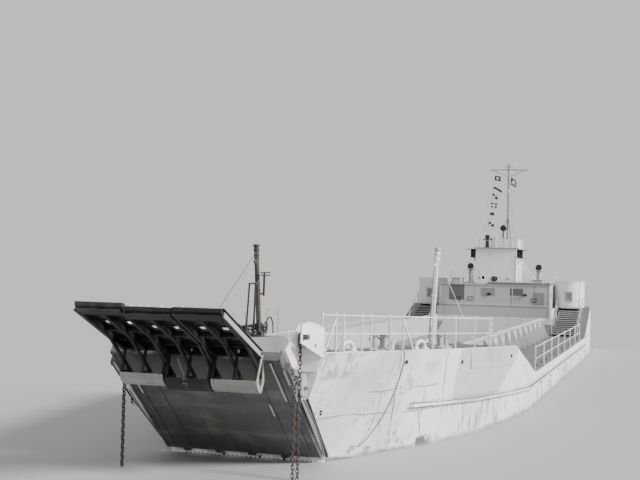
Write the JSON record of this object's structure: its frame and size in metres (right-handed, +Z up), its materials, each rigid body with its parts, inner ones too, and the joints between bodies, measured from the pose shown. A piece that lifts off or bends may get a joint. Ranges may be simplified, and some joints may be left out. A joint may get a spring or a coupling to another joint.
{
  "type": "tank landing craft, half-size model",
  "caption": "Flat-bottomed tank landing craft with an open well, a hinged bow door with its extension, a deckhouse, wheelhouse and mast aft, twin screws and rudders.",
  "frame": {"origin": "on the flat bottom, on the centreline, amidships of the hull", "axes": "+X to the bow, +Y to port, +Z up"},
  "size_m": [30.0388, 6.005, 6.875],
  "materials": {
    "hull_paint": "weathered off-white and pale grey paint with rust streaks",
    "white_paint": "matte off-white paint",
    "grey_paint": "matte grey paint",
    "deck_paint": "worn dark grey deck paint",
    "door_paint": "scraped dark grey paint with rust",
    "black_paint": "matte black paint",
    "rusty_steel": "bare steel with rust",
    "bronze": "dull bronze",
    "rope": "hemp rope"
  },
  "bodies": {
    "hull": {"bitts_aft_port": "rusty_steel", "bitts_aft_stbd": "rusty_steel", "bitts_fore_port": "rusty_steel", "bitts_fore_stbd": "rusty_steel", "bow_rope": "rope", "bow_sill": "hull_paint", "bow_wing_port": "hull_paint", "bow_wing_stbd": "hull_paint", "bridge_ladder": "rusty_steel", "bridge_roof": "white_paint", "chain_horn_port": "white_paint", "chain_horn_stbd": "white_paint", "deckhouse": "grey_paint", "engine_hatch": "grey_paint", "fore_rail_port": "white_paint", "fore_rail_stbd": "white_paint", "funnel": "grey_paint", "horn_chain_port": "rusty_steel", "horn_chain_stbd": "rusty_steel", "hull_bottom": "hull_paint", "kedge_anchor": "rusty_steel", "kedge_winch": "rusty_steel", "kingpost_port": "white_paint", "kingpost_stbd": "white_paint", "lookout_tub_port": "white_paint", "lookout_tub_stbd": "white_paint", "mast": "white_paint", "poop_rail_port": "white_paint", "poop_rail_stbd": "white_paint", "rubbing_strake_port": "hull_paint", "rubbing_strake_stbd": "hull_paint", "side_rail_port": "white_paint", "side_rail_stbd": "white_paint", "side_steps_port": "deck_paint", "side_steps_stbd": "deck_paint", "side_wing_port": "hull_paint", "side_wing_stbd": "hull_paint", "signal_lamp": "white_paint", "skeg_port": "rusty_steel", "skeg_stbd": "rusty_steel", "stern_block": "hull_paint", "well_coaming_port": "grey_paint", "well_coaming_stbd": "grey_paint", "wheelhouse": "white_paint"},
    "bow_ramp": {"bow_ramp": "door_paint"},
    "ramp_extension": {"extension_bay_middle": "black_paint", "extension_bay_port": "black_paint", "extension_bay_stbd": "black_paint"},
    "door_chain_port": {"door_chain_port": "rusty_steel"},
    "door_chain_stbd": {"door_chain_stbd": "rusty_steel"},
    "deckhouse_door": {"deckhouse_door": "white_paint"},
    "wheelhouse_door": {"wheelhouse_door": "white_paint"},
    "engine_hatch_lid": {"engine_hatch_lid": "grey_paint"},
    "winch_drum": {"kedge_winch_drum": "rusty_steel"},
    "propeller_port": {"propeller_port": "bronze"},
    "propeller_stbd": {"propeller_stbd": "bronze"},
    "rudder_port": {"rudder_port": "rusty_steel"},
    "rudder_stbd": {"rudder_stbd": "rusty_steel"}
  },
  "joints": [
    {"name": "ramp_hinge", "type": "hinge", "parent": "hull", "child": "bow_ramp", "pos_m": [12.4625, 0, 0.645], "axis": [0, 1, 0], "range_deg": [0, 50]},
    {"name": "extension_hinge", "type": "hinge", "parent": "bow_ramp", "child": "ramp_extension", "pos_m": [14.35773, 0, 2.14177], "axis": [0, 1, 0], "range_deg": [-20, 20]},
    {"name": "door_chain_swing_port", "type": "hinge", "parent": "bow_ramp", "child": "door_chain_port", "pos_m": [13.88295, 1.145, 1.7668], "axis": [0, 1, 0], "range_deg": [-50, 0]},
    {"name": "door_chain_swing_stbd", "type": "hinge", "parent": "bow_ramp", "child": "door_chain_stbd", "pos_m": [13.88295, -1.145, 1.7668], "axis": [0, 1, 0], "range_deg": [-50, 0]},
    {"name": "deckhouse_door_hinge", "type": "hinge", "parent": "hull", "child": "deckhouse_door", "pos_m": [-13.1154, 0.85, 2.375], "axis": [0, 0, 1], "range_deg": [0, 100]},
    {"name": "wheelhouse_door_hinge", "type": "hinge", "parent": "hull", "child": "wheelhouse_door", "pos_m": [-11.4654, -0.2, 3.275], "axis": [0, 0, 1], "range_deg": [0, 100]},
    {"name": "engine_hatch_hinge", "type": "hinge", "parent": "hull", "child": "engine_hatch_lid", "pos_m": [-12.3, -1.965, 2.1704], "axis": [-1, 0, 0], "range_deg": [0, 95]},
    {"name": "winch_drum_spin", "type": "hinge", "parent": "hull", "child": "winch_drum", "pos_m": [-13.7, 0, 2.275], "axis": [0, 1, 0], "continuous": true},
    {"name": "propeller_spin_port", "type": "hinge", "parent": "hull", "child": "propeller_port", "pos_m": [-12.6, 1.05, 0.31], "axis": [1, 0, 0], "continuous": true},
    {"name": "propeller_spin_stbd", "type": "hinge", "parent": "hull", "child": "propeller_stbd", "pos_m": [-12.6, -1.05, 0.31], "axis": [1, 0, 0], "continuous": true},
    {"name": "rudder_turn_port", "type": "hinge", "parent": "hull", "child": "rudder_port", "pos_m": [-13.35, 1.05, 0.3], "axis": [0, 0, 1], "range_deg": [-35, 35]},
    {"name": "rudder_turn_stbd", "type": "hinge", "parent": "hull", "child": "rudder_stbd", "pos_m": [-13.35, -1.05, 0.3], "axis": [0, 0, 1], "range_deg": [-35, 35]}
  ],
  "couplings": [
    {"joint": "door_chain_swing_port", "follows": "ramp_hinge", "ratio": -1},
    {"joint": "door_chain_swing_stbd", "follows": "ramp_hinge", "ratio": -1},
    {"joint": "rudder_turn_stbd", "follows": "rudder_turn_port", "ratio": 1}
  ]
}
